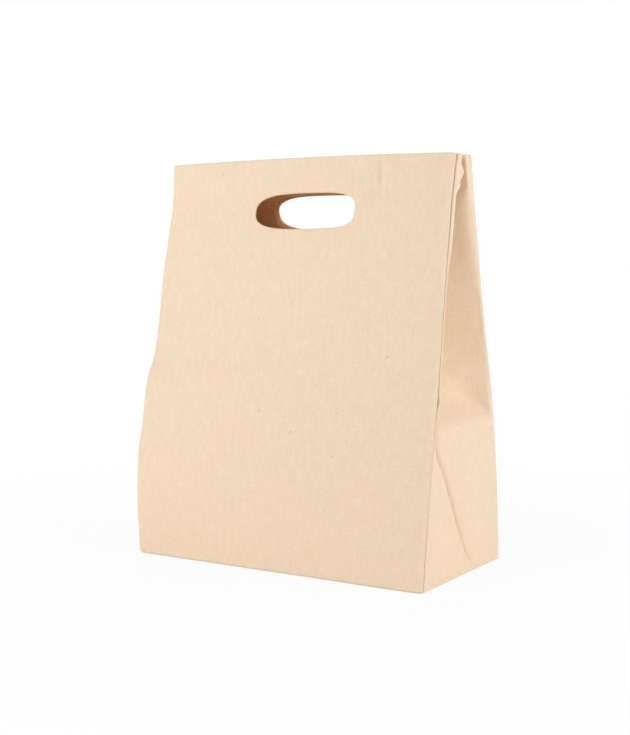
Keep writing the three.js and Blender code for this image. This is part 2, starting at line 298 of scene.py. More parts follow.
# The cloth's unevenness: length across, length up and height of its ripples, puckers and puff
WALL_SEED = {"front": 11, "back": 29}
WIDE_RIPPLE = (75, 95, 0.7)
CLOSE_RIPPLE = (24, 34, 0.18)
CLOSE_SEED_STEP = 5
PUCKER_HEIGHT = 0.35
SEAM_PUCKER = (60, 5)
SEAM_PUCKER_REACH = 5
TOP_PUCKER = 6
TOP_PUCKER_SEED = 2
TOP_PUCKER_REACH = 6
STITCH_DENT_DEPTH = 0.3
STITCH_DENT_WIDTH = 1.3
PUFF_HEIGHT = 0.9
PUFF_ABOVE_HOLE = 9
PUFF_HALF_WIDTH = 45
PUFF_HALF_HEIGHT = 8

# Where each soft crease of the front starts and ends, across and up, then its half width and height
FRONT_CREASES = (
    ((51, 348), (51.5, 300), 2.2, -1.1),
    ((74.5, 350), (77.5, 306), 2.6, -1.7),
    ((82, 322), (55, 299), 2.6, -1.7),
    ((118, 9), (142, 13), 1.8, -0.7),
    ((-18, -6), (-13, 40), 2.0, 0.45),
    ((8, -6), (11, 36), 2.0, -0.4),
    ((36, -6), (34, 32), 2.2, 0.4),
    ((66, -8), (62, 30), 2.0, -0.4),
)

# Height and distance from the middle of the bag, along the edges
FRONT_LEFT_EDGE = (
    (0, -75.5), (45, -78), (88, -76.2), (112, -70.6), (135, -66.2), (152, -62.8), (176, -51.8),
    (205, -45.5), (245, -38.8), (280, -30.2), (308, -23.4), (342, -21),
)
FRONT_RIGHT_EDGE = (
    (0, -74.5), (60, -66.4), (123, -57), (145, -52), (166, -49.4), (203, -44.2), (265, -35.2),
    (303, -29.6), (342, -21.2),
)
BACK_EDGE = (
    (0, 73.4), (62, 68.8), (104, 62.8), (146, 55.2), (187, 44), (228, 33), (267, 25.2),
    (306, 17), (342, 10.4),
)


def through(points, at):
    """A smooth line through points, read at one place."""
    last = len(points) - 1
    i = next((k for k in range(last) if at <= points[k + 1][0]), last - 1)

    def slope(k):
        (x0, y0), (x1, y1) = points[max(k - 1, 0)], points[min(k + 1, last)]
        return (y1 - y0) / (x1 - x0)

    (x0, y0), (x1, y1) = points[i], points[i + 1]
    step = x1 - x0
    t = min(max((at - x0) / step, 0), 1)
    return (
        y0 * (1 + 2 * t) * (1 - t) ** 2 + step * slope(i) * t * (1 - t) ** 2
        + y1 * t * t * (3 - 2 * t) + step * slope(i + 1) * t * t * (t - 1)
    )


def ease(value):
    """Smoothly from 0 to 1."""
    t = min(max(value, 0), 1)
    return t * t * (3 - 2 * t)


def fold(x, z, start, end, width, depth):
    """Depth of a soft crease between two points of a wall, fading out at both of them."""
    along = Vector(end) - Vector(start)
    away = Vector((x, z)) - Vector(start)
    t = away.dot(along) / along.length_squared
    if not 0 < t < 1:
        return 0
    off = (away - along * t).length / width
    return depth * math.exp(-off * off) * math.sin(math.pi * t)


def ripple(x, z, seed, across, up, height):
    """Rise of the uneven cloth at a point, for ripples of a length across, a length up and a height."""
    return height * noise.noise(Vector((x / across, z / up, seed)))


def softness(x, z, seed):
    """The gentle unevenness of cloth that stands by itself, and of its sewn edges."""
    ripples = ripple(x, z, seed, *WIDE_RIPPLE) + ripple(x, z, seed + CLOSE_SEED_STEP, *CLOSE_RIPPLE)
    seam = math.exp(-(HALF_WIDTH - min(abs(x), HALF_WIDTH)) / SEAM_PUCKER_REACH)
    top = math.exp(-(HEIGHT - min(z, HEIGHT)) / TOP_PUCKER_REACH)
    along_seam = noise.noise(Vector((z / SEAM_PUCKER[1], seed, x / SEAM_PUCKER[0])))
    along_top = noise.noise(Vector((x / TOP_PUCKER, seed, TOP_PUCKER_SEED)))
    dent = STITCH_DENT_DEPTH * math.exp(-((z - STITCH_LINE) / STITCH_DENT_WIDTH) ** 2)
    return ripples + PUCKER_HEIGHT * (along_seam * seam + along_top * top) - dent


def front_out(x, z):
    """How far the front stands out of its smooth shape, in its own creases and puffs."""
    hole_top = HOLE_Z + HOLE_HALF_HEIGHT
    across = (x - HOLE_X["front"]) / PUFF_HALF_WIDTH
    up = (z - hole_top - PUFF_ABOVE_HOLE) / PUFF_HALF_HEIGHT
    puff = PUFF_HEIGHT * math.exp(-(across ** 2 + up ** 2))
    creases = sum(fold(x, z, *crease) for crease in FRONT_CREASES)
    return puff + creases + softness(x, z, WALL_SEED["front"])


def wall_y(side, x, z):
    """Distance from the middle of the bag to the outer face of a wall."""
    x = min(max(x, -HALF_WIDTH), HALF_WIDTH)
    if side == "front":
        share = ((HALF_WIDTH - x) / (2 * HALF_WIDTH)) ** SWELL_EASE
        right, left = through(FRONT_RIGHT_EDGE, z), through(FRONT_LEFT_EDGE, z)
        return right + (left - right) * share - front_out(x, z)
    return through(BACK_EDGE, z) + softness(x, z, WALL_SEED["back"])


def on_wall(side, x, z, depth):
    """A point at a depth in from the outer face of a wall."""
    lean = (wall_y(side, x, z + SLOPE_STEP) - wall_y(side, x, z - SLOPE_STEP)) / (2 * SLOPE_STEP)
    turn = (wall_y(side, x + SLOPE_STEP, z) - wall_y(side, x - SLOPE_STEP, z)) / (2 * SLOPE_STEP)
    normal = Vector((-turn, 1, -lean)).normalized() * INWARD[side]
    rise = min(max((z - TOP_BOW_START) / (HEIGHT - TOP_BOW_START), 0), 1)
    bow = TOP_BOW * (1 - min(abs(x) / HALF_WIDTH, 1) ** 2) * rise ** 2
    return Vector((x, wall_y(side, x, z), z + bow)) + normal * depth


def rolled(past, radius, turn, straight):
    """How far a rolled edge goes on and goes in, past the line where it starts to turn."""
    angle = min(max(past, 0) / radius, turn)
    rest = min(max(past - radius * turn, 0), straight)
    on = radius * math.sin(angle) + rest * math.cos(angle)
    return on, radius * (1 - math.cos(angle)) + rest * math.sin(angle)


def roll_lines(radius, turn, straight, steps):
    """The lines of a rolled edge, measured from where it starts to turn."""
    lines = [radius * turn * (i + 1) / steps for i in range(steps)]
    return lines + [radius * turn + straight]


def hole_size(x, z):
    """A point's place against the hand hole's outline: 1 on it, and less inside."""
    power = HOLE_LEFT_SQUARENESS if x < 0 else HOLE_RIGHT_SQUARENESS
    return (abs(x / HOLE_HALF_WIDTH) ** power + abs(z / HOLE_HALF_HEIGHT) ** power) ** (1 / power)


def round_hole(piece, hole_x):
    """The grid's lines are drawn in from a rectangle to the hole's rounded outline."""
    for point in piece.data.vertices:
        x, z = point.co.x - hole_x, point.co.y - HOLE_Z
        past = max(abs(x) - HOLE_HALF_WIDTH, abs(z) - HOLE_HALF_HEIGHT)
        if past > HOLE_REACH:
            continue
        x_ring = min(max(x, -HOLE_HALF_WIDTH), HOLE_HALF_WIDTH)
        z_ring = min(max(z, -HOLE_HALF_HEIGHT), HOLE_HALF_HEIGHT)
        draw = (1 / max(hole_size(x_ring, z_ring), 1) - 1) * (1 - max(past, 0) / HOLE_REACH) ** 2
        point.co.x += x_ring * draw
        point.co.y += z_ring * draw


def cut_hole(piece, hole_x):
    """The faces over the hand hole are cut out, and its edge is rounded."""
    for part in (piece.data.vertices, piece.data.edges, piece.data.polygons):
        part.foreach_set("select", [False] * len(part))
    for face in piece.data.polygons:
        x, z = abs(face.center.x - hole_x), abs(face.center.y - HOLE_Z)
        face.select = x < HOLE_HALF_WIDTH and z < HOLE_HALF_HEIGHT
    bpy.context.tool_settings.mesh_select_mode = (False, False, True)
    bpy.ops.object.mode_set(mode="EDIT")
    bpy.ops.mesh.delete(type="FACE")
    bpy.ops.object.mode_set(mode="OBJECT")
    round_hole(piece, hole_x)


def hole_edge(x, z):
    """How far a point lies outside the hand hole's edge, measured from the hole's middle."""
    return max(hole_size(x, z - HOLE_Z) - 1, 0) * HOLE_HALF_HEIGHT


def hole_flare(side, x, z):
    """How far the edge of the back's hole stands outwards: it is turned out at its left, most at the foot."""
    if side == "front":
        return 0
    low = ease((HOLE_Z + HOLE_FLARE_TOP - z) / HOLE_FLARE_RISE)
    turned = ease(-x / HOLE_FLARE_LEFT) * (HOLE_FLARE_LEAST + (1 - HOLE_FLARE_LEAST) * low)
    return HOLE_FLARE * turned * math.exp(-hole_edge(x, z) / HOLE_FLARE_WIDTH)


def lines_past_hole(start, hole_start, hole_end, end, step, hole_step):
    """Grid lines across a sheet with a hand hole, close together at the hole's edges."""
    *near, far = HOLE_LINES
    return (
        evenly(start, hole_start - far, step) + [hole_start - d for d in reversed(near)]
        + evenly(hole_start, hole_end, hole_step) + [hole_end + d for d in near]
        + evenly(hole_end + far, end, step)
    )


def hole_grid(side, half_width, low, high, column, row):
    """Columns and rows of a sheet with a hand hole."""
    west, east = HOLE_X[side] - HOLE_HALF_WIDTH, HOLE_X[side] + HOLE_HALF_WIDTH
    south, north = HOLE_Z - HOLE_HALF_HEIGHT, HOLE_Z + HOLE_HALF_HEIGHT
    columns = lines_past_hole(-half_width, west, east, half_width, column, column)
    return columns, lines_past_hole(low, south, north, high, row, HOLE_ROW_STEP)


def make_panel(side):
    side_start = SIDE_START[side]
    side_lines = roll_lines(SIDE_ROLL, SIDE_TURN, SIDE_TUCK, steps=6)
    foot_lines = roll_lines(FOOT_ROLL, QUARTER, FOOT_TUCK, steps=4)
    top_lines = roll_lines(TOP_ROLL, TOP_TURN, TOP_TUCK, steps=4)
    columns, rows = hole_grid(side, side_start, FOOT_START, TOP_START, PANEL_COLUMN, PANEL_ROW)
    if side == "front":
        west, east = FINE_COLUMNS
        finer = [(a + b) / 2 for a, b in zip(columns, columns[1:]) if west < a < east]
        columns = sorted(columns + finer)
    columns[:1] = [-side_start, -side_start + SHOULDER / 4, -side_start + SHOULDER / 2]
    columns[-1:] = [side_start - SHOULDER / 2, side_start - SHOULDER / 4, side_start]
    columns = [-side_start - d for d in reversed(side_lines)] + columns + [side_start + d for d in side_lines]
    rows = [FOOT_START - d for d in reversed(foot_lines)] + rows + [TOP_START + d for d in top_lines]
    panel = cloth(f"{side}_panel_cloth", columns, rows)
    cut_hole(panel, HOLE_X[side])
    lay_weave(panel)

    def place(u, v):
        out, side_in = rolled(abs(u) - side_start, SIDE_ROLL, SIDE_TURN, SIDE_TUCK)
        down, foot_in = rolled(FOOT_START - v, FOOT_ROLL, QUARTER, FOOT_TUCK)
        up, top_in = rolled(v - TOP_START, TOP_ROLL, TOP_TURN, TOP_TUCK)
        x = math.copysign(min(abs(u), side_start) + out, u)
        z = min(max(v, FOOT_START), TOP_START) - down + up
        from_hole = u - HOLE_X[side]
        turned = HOLE_EDGE_TURN * math.exp(-hole_edge(from_hole, v) / HOLE_EDGE_ROUND)
        edge_in = turned - hole_flare(side, from_hole, v)
        shoulder = SHOULDER_DEPTH * min(max(1 + (abs(u) - side_start) / SHOULDER, 0), 1) ** 2
        return on_wall(side, x, z, CANVAS / 2 + side_in + foot_in + top_in + edge_in + shoulder)

    shape_cloth(panel, place)
    give_thickness(panel, CANVAS)
    panel.data.materials.append(canvas)
    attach(panel, f"{side}_wall")
    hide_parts(f"{side}_panel")


for side in INWARD:
    make_panel(side)


# Facings: a strip of canvas sewn inside the top of each wall, which doubles the cloth round the hole.
# Its edge is joined to the wall's along the mouth and round the hole, and its foot is turned and stitched.
FACING_HALF_WIDTH = 133
FACING_FOOT = 261.5
FACING_TOP = 341.0
FACING_DEPTH = 1.9
FACING_CANVAS = 0.9
FACING_EDGE_TURN = 0.25
FACING_HEM_ROLL = 0.6
FACING_HEM_TURN = 2.6
FACING_HEM_TUCK = 0.4
FACING_MESH = 4.6

# The facings are the same undyed canvas, but their tones here are a deep, saturated brown: painted shade of
# the dim inside of the bag, as seen through the hand holes.
facing_canvas_painted_shade = natural_canvas(
    "facing_canvas_painted_shade",
    dark=colour(238, 186, 128),
    light=colour(248, 200, 148),
    warmth=colour(236, 174, 114),
    rosy=colour(242, 184, 128),
)


def make_facing(side):
    hem_lines = roll_lines(FACING_HEM_ROLL, FACING_HEM_TURN, FACING_HEM_TUCK, steps=4)
    columns, rows = hole_grid(
        side, FACING_HALF_WIDTH, FACING_FOOT, FACING_TOP, FACING_MESH, FACING_MESH)
    facing = cloth(f"{side}_facing_cloth", columns, [FACING_FOOT - d for d in reversed(hem_lines)] + rows)
    cut_hole(facing, HOLE_X[side])
    lay_weave(facing)

    def place(u, v):
        down, hem_in = rolled(FACING_FOOT - v, FACING_HEM_ROLL, FACING_HEM_TURN, FACING_HEM_TUCK)
        z = max(v, FACING_FOOT) - down
        from_hole = u - HOLE_X[side]
        turned = FACING_EDGE_TURN * math.exp(-hole_edge(from_hole, v) / HOLE_EDGE_ROUND)
        edge_out = turned + hole_flare(side, from_hole, v)
        return on_wall(side, u, z, FACING_DEPTH + hem_in - edge_out)

    shape_cloth(facing, place)
    give_thickness(facing, FACING_CANVAS)
    facing.data.materials.append(facing_canvas_painted_shade)
    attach(facing, f"{side}_wall")
    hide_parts(f"{side}_facing")


for side in INWARD:
    make_facing(side)


# Gussets: the two sides, each one strip of canvas that folds inwards between the front and the back.
# It is sewn to both walls and to the base, and its top is turned down inside as a deep hem.
# Each is made as two halves, because each follows its own wall. They meet in the fold, or behind the tuck.
HANDS = (("left", -1), ("right", 1))
GUSSET_X = HALF_WIDTH - CANVAS / 2
SEAM_FOLD = 0.6
SEAM_TUCK = 5
GUSSET_FOOT_ROLL = 0.7
GUSSET_FOOT_TUCK = 0.4
GUSSET_FOOT = CANVAS / 2 + GUSSET_FOOT_ROLL
GUSSET_TOP = 340.6
GUSSET_DIP = 2.4
GUSSET_DIP_HEIGHTS = (290, 340)
HEM_FOLD = 0.7
HEM_DEPTH = 28

# The tuck low down, and the deep pleat that it opens into
TUCK_WIDTH = 6.5
TUCK_DEPTH = 4.5
TUCK_GROWTH = 0.12
TUCK_FOOT = 30
TUCK_VALLEY_SHARE = 0.7
PLEAT_DEPTH = 54
PLEAT_START = 26
PLEAT_EASE = 2.3
PLEAT_DEEPENS = (95, 155)
PLEAT_OPENS = (121, 161)

# Behind the tuck the cloth sinks in a little, then turns in along a soft slanting crease
SINK = 1.4
SINK_GROWTH = 0.02
SINK_GROWTH_START = 60
SHELF_DEPTH = 36
SHELF_START = 125
SHELF_HEIGHT = 34
SHELF_EASE = 1.4
CREASE_REACH = 0.95
CREASE_SLOPE = 1.4
CREASE_STARTS = (112, 132)
CREASE_ENDS = (166, 144)

# How round each bend is, and the share of the cloth beside it that it may take up
CORNER_ROUND = 2.8
CORNER_SHARES = (0.8, 0.4)
BACK_CORNER_ROUND = 6.5
BACK_CORNER_STARTS = (160, 210)
BACK_CORNER_ENDS = (318, 298)
HEM_SHARPNESS = 1.5
HEM_SHARPENS = (308, 318)
RUN_BEND = 0.35
RUN_SOFTNESS = 0.2
KNEE_PLACE = {"front": 0.5, "back": 0.8}
KNEE_ROUND = 8
KNEE_SHARES = (0.4, 0.5)
PLEAT_ROUND = 2.4
PLEAT_SHARE = 0.45

# Unevenness of the cloth between corner and knee, and of the flat strip beside a seam
RUN_RIPPLE = 2.4
RUN_RIPPLE_SIZE = (0.625, 48)
RUN_RIPPLE_STARTS = (20, 80)
RUN_SEED = {"front": 5, "back": 4}
RUN_SEED_STEP = 9
BULGE = 0.7
BULGE_RIPPLE = 1.4
BULGE_RIPPLE_SIZE = (22, 26)
BULGE_SEED_STEP = 4
BULGE_FULL_WIDTH = 60
BULGE_FULL_HEIGHT = 40

# Height, and width of the flat cloth beside each seam. The front's runs out along a slanting fold
# from the middle of the base, then keeps the width of the bound edges inside, with lumps at the hem.
FRONT_STRIP = (
    (0, 90), (12, 81.6), (30, 67.4), (48, 54.2), (69, 39.8), (87, 26.5), (100, 15), (109, 8.8), (118, 6.8),
    (200, 6.4), (228, 6.2), (246, 7.4), (262, 10.4), (282, 12), (300, 12.2), (309, 12.4), (312, 13.6),
    (315.5, 15.6), (318.5, 15.2), (321, 16.6), (326, 18.8), (330, 17.8), (333, 14.6), (336, 13.8),
    (342, 13.4),
)
BACK_STRIP = (
    (0, 9), (90, 7.5), (120, 4.6), (205, 4.2), (240, 5.2), (272, 9.5), (300, 11.5), (316, 11.5), (342, 11.5),
)

# Height, half length and thickness of the lumps where the hem meets the front seam
HEM_LUMPS = ((326, 3.5, 0.9), (316, 2.4, 0.7))

# Height, and where between its two corners a gusset's fold lies
VALLEY_SHARE = ((0, 0.56), (150, 0.56), (180, 0.64), (196, 0.64), (235, 0.54), (342, 0.54))

# Height, and how far in from each wall the gusset's edge is turned: the seam's groove
SEAM_TURN = {
    "front": (
        (0, 5.8), (30, 5.6), (60, 5.4), (125, 5.4), (139, 6), (146, 7.4), (153, 6.1), (190, 5.7), (250, 5.7),
        (275, 6.1), (300, 6.5), (342, 6.7),
    ),
    "back": ((0, 1.7), (342, 1.7)),
}

# Lines across half a gusset are counted in bands: flat strip, corner, run, knee and fold.
# The front's go on behind the fold, to where the halves meet.
SEAM, CORNER, RUN, KNEE, FOLD, MIDDLE, BEHIND = range(7)
DEEPEST_PARTING = MIDDLE - 0.5
PARTING_TRIES = 20
LINE_STEP = 0.02

# The grid of each half: its bands with the step between their lines, and the steps between its rows
SEAM_LINES = [-1, -0.7] + evenly(-SEAM_FOLD * math.pi / SEAM_TUCK, SEAM, 0.1)
BAND_LINES = {
    "front": (
        (SEAM, CORNER, 0.125), (CORNER, RUN, 0.2), (RUN, KNEE, 0.07), (KNEE, FOLD, 0.2),
        (FOLD, MIDDLE, 0.125), (MIDDLE, BEHIND, 0.04),
    ),
    "back": ((SEAM, CORNER, 0.125), (CORNER, RUN, 0.2), (RUN, MIDDLE, 0.1)),
}
GUSSET_ROW = 4
FINE_ROWS_START = 304
FINE_ROW = 1.6
HEM_ROW = 4.5


def between(height, start, end):
    """Smoothly from 0 at one height to 1 at another."""
    return ease((height - start) / (end - start))


def pleat_depth(z):
    """Depth of the fold: a narrow tuck low down, which opens into the deep pleat above it."""
    rise = max(z - PLEAT_START, 0) / (HEIGHT - PLEAT_START)
    deep = PLEAT_DEPTH * (1 - (1 - rise) ** PLEAT_EASE)
    narrow = TUCK_GROWTH * z + TUCK_DEPTH * ease(z / TUCK_FOOT)
    return narrow + (deep - narrow) * between(z, *PLEAT_DEEPENS)


def pleat_points(hand, z):
    """Walls, corners, valley and the back half's knee of a gusset at one height, seen from above."""
    front, back = wall_y("front", hand * HALF_WIDTH, z), wall_y("back", hand * HALF_WIDTH, z)
    lumps = sum(thick * math.exp(-((z - at) / half) ** 2) for at, half, thick in HEM_LUMPS)
    front_corner = Vector((GUSSET_X + lumps, front + through(FRONT_STRIP, z)))
    back_corner = Vector((GUSSET_X, back - through(BACK_STRIP, z)))
    opened = between(z, *PLEAT_OPENS)
    middle = front_corner.y + (back_corner.y - front_corner.y) * through(VALLEY_SHARE, z)
    behind = front_corner.y + TUCK_WIDTH * TUCK_VALLEY_SHARE
    valley = Vector((GUSSET_X - pleat_depth(z), behind + (middle - behind) * opened))
    sunk = SINK * ease(z / TUCK_FOOT) + SINK_GROWTH * max(z - SINK_GROWTH_START, 0)
    sunk += SHELF_DEPTH * (max(z - SHELF_START, 0) / SHELF_HEIGHT) ** SHELF_EASE
    knee = Vector((GUSSET_X - sunk, front_corner.y + TUCK_WIDTH))
    knee = knee.lerp(back_corner.lerp(valley, KNEE_PLACE["back"]), opened)
    return front, back, front_corner, back_corner, valley, knee


def bend(start, middle, end, t):
    """A point on a round bend from start to end."""
    return start.lerp(middle, t).lerp(middle.lerp(end, t), t)


def toward(start, end, reach, share):
    """A point some way from one point to another, and no further than a share of the way."""
    return start + (end - start).normalized() * min(reach, (end - start).length * share)


def pleat_run(hand, half, start, end, across, z):
    """From corner to knee: the back half leaves its seam steeply, then bends along a slanting crease."""
    steep = CREASE_REACH * (start.x - end.x)
    crease = Vector((start.x - steep, start.y - steep / CREASE_SLOPE))
    bent = between(z, *CREASE_STARTS) * between(z, *CREASE_ENDS) if half == "back" else 0
    crease = start.lerp(end, RUN_BEND).lerp(crease, bent)
    before = start.lerp(crease, 1 - RUN_SOFTNESS / RUN_BEND)
    after = crease.lerp(end, RUN_SOFTNESS / (1 - RUN_BEND))
    if across < RUN_BEND - RUN_SOFTNESS:
        point = start.lerp(before, across / (RUN_BEND - RUN_SOFTNESS))
    elif across > RUN_BEND + RUN_SOFTNESS:
        point = after.lerp(end, 1 - (1 - across) / (1 - RUN_BEND - RUN_SOFTNESS))
    else:
        point = bend(before, crease, after, (across - RUN_BEND + RUN_SOFTNESS) / (2 * RUN_SOFTNESS))
    uneven = RUN_RIPPLE * across * (1 - across) * between(z, *RUN_RIPPLE_STARTS)
    seed = hand * RUN_SEED_STEP + RUN_SEED[half]
    return point + Vector((ripple(across, z, seed, *RUN_RIPPLE_SIZE, uneven), 0))


def pleat_line(hand, half, line, z):
    """Where a line across half a gusset lies at one height, seen from above."""
    front, back, front_corner, back_corner, valley, back_knee = pleat_points(hand, z)
    front_knee = front_corner.lerp(valley, KNEE_PLACE["front"])
    inward = INWARD[half]
    if half == "front":
        wall, corner, knee, other = front, front_corner, front_knee, back_knee
    else:
        wall, corner, knee, other = back, back_corner, back_knee, front_knee
    seam = Vector((GUSSET_X, wall + inward * through(SEAM_TURN[half], z)))
    if line <= SEAM:
        past = -line * SEAM_TUCK
        turn = min(past / SEAM_FOLD, math.pi)
        returned = max(past - SEAM_FOLD * math.pi, 0)
        x = seam.x - SEAM_FOLD * (1 - math.cos(turn))
        return Vector((x, seam.y + inward * (returned - SEAM_FOLD * math.sin(turn))))
    corner_round = CORNER_ROUND
    if half == "back":
        corner_round += BACK_CORNER_ROUND * between(z, *BACK_CORNER_STARTS) * between(z, *BACK_CORNER_ENDS)
    corner_round -= HEM_SHARPNESS * between(z, *HEM_SHARPENS)
    before = toward(corner, seam, corner_round, CORNER_SHARES[0])
    after = toward(corner, knee, corner_round, CORNER_SHARES[1])
    knee_start = toward(knee, corner, KNEE_ROUND, KNEE_SHARES[0])
    knee_end = toward(knee, valley, KNEE_ROUND, KNEE_SHARES[1])
    near = toward(valley, knee, PLEAT_ROUND, PLEAT_SHARE)
    far = toward(valley, other, PLEAT_ROUND, PLEAT_SHARE)
    if line <= CORNER:
        flat = seam.lerp(before, line)
        wide = min(abs(corner.y - seam.y) / BULGE_FULL_WIDTH, 1)
        bulge = math.sin(math.pi * line) * wide * ease(z / BULGE_FULL_HEIGHT)
        uneven = ripple(flat.y, z, hand * BULGE_SEED_STEP, *BULGE_RIPPLE_SIZE, BULGE_RIPPLE)
        return flat + Vector((bulge * (BULGE + uneven), 0))
    if line <= RUN:
        return bend(before, corner, after, line - CORNER)
    if line <= KNEE:
        return pleat_run(hand, half, after, knee_start, line - RUN, z)
    if line <= FOLD:
        return bend(knee_start, knee, knee_end, line - KNEE)
    share = line - FOLD
    if share < 0.5:
        return knee_end.lerp(near, share * 2)
    return bend(near, valley, far, share - 0.5)


def on_gusset(hand, half, line, v, depth):
    """A point on half a gusset at a depth in from its middle layer, past its turned foot and top."""
    dip = GUSSET_DIP * min(max(line - CORNER, 0) / (MIDDLE - CORNER), 1)
    v -= dip * between(v, *GUSSET_DIP_HEIGHTS)
    down, foot_in = rolled(GUSSET_FOOT - v, GUSSET_FOOT_ROLL, QUARTER, GUSSET_FOOT_TUCK)
    up, top_in = rolled(v - GUSSET_TOP + dip, HEM_FOLD, math.pi, HEM_DEPTH)
    z = min(max(v, GUSSET_FOOT), GUSSET_TOP - dip) - down + up
    here = pleat_line(hand, half, line, z)
    after = pleat_line(hand, half, min(line + LINE_STEP, MIDDLE), z)
    along = after - pleat_line(hand, half, line - LINE_STEP, z)
    inside = Vector((-along.y, along.x)).normalized() * INWARD[half]
    point = here + inside * (depth + foot_in + top_in)
    return Vector((hand * point.x, point.y, z))


@lru_cache(maxsize=None)
def parting(hand, z):
    """The line of the back half where the halves meet: halfway between the walls, or deep in the fold."""
    near, far = RUN, DEEPEST_PARTING
    front, back = pleat_points(hand, z)[:2]
    halfway = (front + back) / 2
    if pleat_line(hand, "back", far, z).y >= halfway:
        return far
    for _ in range(PARTING_TRIES):
        line = (near + far) / 2
        if pleat_line(hand, "back", line, z).y > halfway:
            near = line
        else:
            far = line
    return near


def on_half(hand, half, line, v):
    """A point on either half of a gusset as it is made, where the front half goes on behind the fold."""
    met = parting(hand, min(v, GUSSET_TOP))
    if half == "front" and line > MIDDLE:
        return on_gusset(hand, "back", MIDDLE - (line - MIDDLE) * (MIDDLE - met), v, 0)
    if half == "back" and line > RUN:
        line = RUN + (line - RUN) / (MIDDLE - RUN) * (met - RUN)
    return on_gusset(hand, half, line, v, 0)


def follow_wall(piece):
    """The cloth's placing is baked into its mesh; it is not attached to a wall or to the base."""
    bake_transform(piece)


def lay_weave_along(piece, columns, beyond=()):
    """The weave follows the shaped cloth along each row, from its seam.

    Behind the fold it is measured from the other seam, with each row's length there in beyond.
    """
    points = piece.data.vertices
    wide = len(columns)
    steps = [(points[i].co - points[i - 1].co).length if i % wide else 0 for i in range(len(points))]
    run = list(steps)
    for i in range(len(points)):
        run[i] += run[i - 1] if i % wide else 0
    for row, other in enumerate(beyond):
        last = (row + 1) * wide - 1
        run[last] = other
        for i in range(last, row * wide + columns.index(MIDDLE) + 1, -1):
            run[i - 1] = run[i] + steps[i]
    weave = piece.data.uv_layers.active.data
    for corner in piece.data.loops:
        weave[corner.index].uv.x = run[corner.vertex_index]
    return run[wide - 1::wide]


def make_gusset_half(name, hand, half, beyond=()):
    columns = list(SEAM_LINES)
    for start, end, step in BAND_LINES[half]:
        columns += evenly(start, end, step)[1:]
    foot_lines = roll_lines(GUSSET_FOOT_ROLL, QUARTER, GUSSET_FOOT_TUCK, steps=3)
    top_lines = roll_lines(HEM_FOLD, math.pi, 0, steps=4)[:-1]
    top_end = GUSSET_TOP + HEM_FOLD * math.pi
    rows = (
        [GUSSET_FOOT - d for d in reversed(foot_lines)] + evenly(GUSSET_FOOT, FINE_ROWS_START, GUSSET_ROW)
        + evenly(FINE_ROWS_START, GUSSET_TOP, FINE_ROW)[1:]
        + [GUSSET_TOP + d for d in top_lines] + evenly(top_end, top_end + HEM_DEPTH, HEM_ROW)[1:]
    )
    piece = cloth(f"{name}_gusset_{half}", columns, rows)
    lay_weave(piece)
    shape_cloth(piece, lambda line, v: on_half(hand, half, line, v))
    runs = lay_weave_along(piece, columns, beyond)
    give_thickness(piece, CANVAS, crisp=1)
    piece.data.materials.append(canvas)
    follow_wall(piece)
    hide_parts(f"{name}_gusset")
    return runs


for name, hand in HANDS:
    back_runs = make_gusset_half(name, hand, "back")
    make_gusset_half(name, hand, "front", back_runs)


# Seam bindings: cotton tape folded over the raw edges of the four upright seams, inside the bag.
# The seam's edges lie flat against the gusset, and a row of stitching holds the tape on them.
TAPE = 0.45
TAPE_HALF_GAP = 0.8
TAPE_ROUND = TAPE_HALF_GAP * math.pi
TAPE_OUTER = 137.2
TAPE_NEAR = 1.9
TAPE_WIDTH = 5.6
TAPE_FOOT = 13
TAPE_TOP = 339.5
TAPE_PINCH = 0.6
TAPE_PINCH_LENGTH = 2.5
TAPE_STEEPEST = 1.8
TAPE_WAVE = 0.25
TAPE_WAVE_LENGTH = 11
TAPE_SEED_STEP = 3
TAPE_COLUMN = 1.4
TAPE_ROW = 5


def cotton_tape():
    """Narrow twill tape: fine slanting ribs in undyed cotton."""
    tape = bpy.data.materials.new("cotton_tape")
    tape.use_nodes = True
    shader = tape.node_tree.nodes["Principled BSDF"]
    weave = add_node(tape, "ShaderNodeUVMap").outputs["UV"]
    ribs = add_node(tape, "ShaderNodeTexWave", Vector=weave, Scale=70.0, Distortion=0.4, Detail=1.0)
    ribs.bands_direction = "DIAGONAL"
    cloudy = add_node(tape, "ShaderNodeTexNoise", Vector=weave, Scale=180.0, Detail=3.0).outputs["Fac"]
    shade = mixed(tape, cloudy, colour(236, 214, 186), colour(246, 228, 204))
    rib_shade = combined(tape, "MULTIPLY", ribs.outputs["Fac"], 0.25)
    ribbed = mixed(tape, rib_shade, shade, colour(224, 196, 164))
    bump = add_node(tape, "ShaderNodeBump", Height=ribs.outputs["Fac"], Strength=0.5, Distance=0.0001)
    wire(tape, shader, Base_Color=ribbed, Normal=bump.outputs[0], Roughness=0.9, Specular_IOR_Level=0.2)
    return tape


tape = cotton_tape()


def folded_tape(past):
    """Where a line across the folded tape lies: how far along the seam's edge, and which layer."""
    if past <= TAPE_WIDTH:
        return past, 0
    turned = min((past - TAPE_WIDTH) / TAPE_HALF_GAP, math.pi)
    rest = max(past - TAPE_WIDTH - TAPE_ROUND, 0)
    return TAPE_WIDTH + TAPE_HALF_GAP * math.sin(turned) - rest, 1 - math.cos(turned)


def tape_lines():
    """Lines across the tape: its first layer, the turn and its second layer."""
    turn = [TAPE_WIDTH + TAPE_ROUND * i / 6 for i in range(1, 6)]
    second = evenly(TAPE_WIDTH + TAPE_ROUND, 2 * TAPE_WIDTH + TAPE_ROUND, TAPE_COLUMN)
    return evenly(0, TAPE_WIDTH, TAPE_COLUMN) + turn + second


def pinched(*from_ends):
    """The share of their gap that the tape's layers keep: they are pressed together at its ends."""
    return 1 - TAPE_PINCH * max(0, *[1 - length / TAPE_PINCH_LENGTH for length in from_ends])


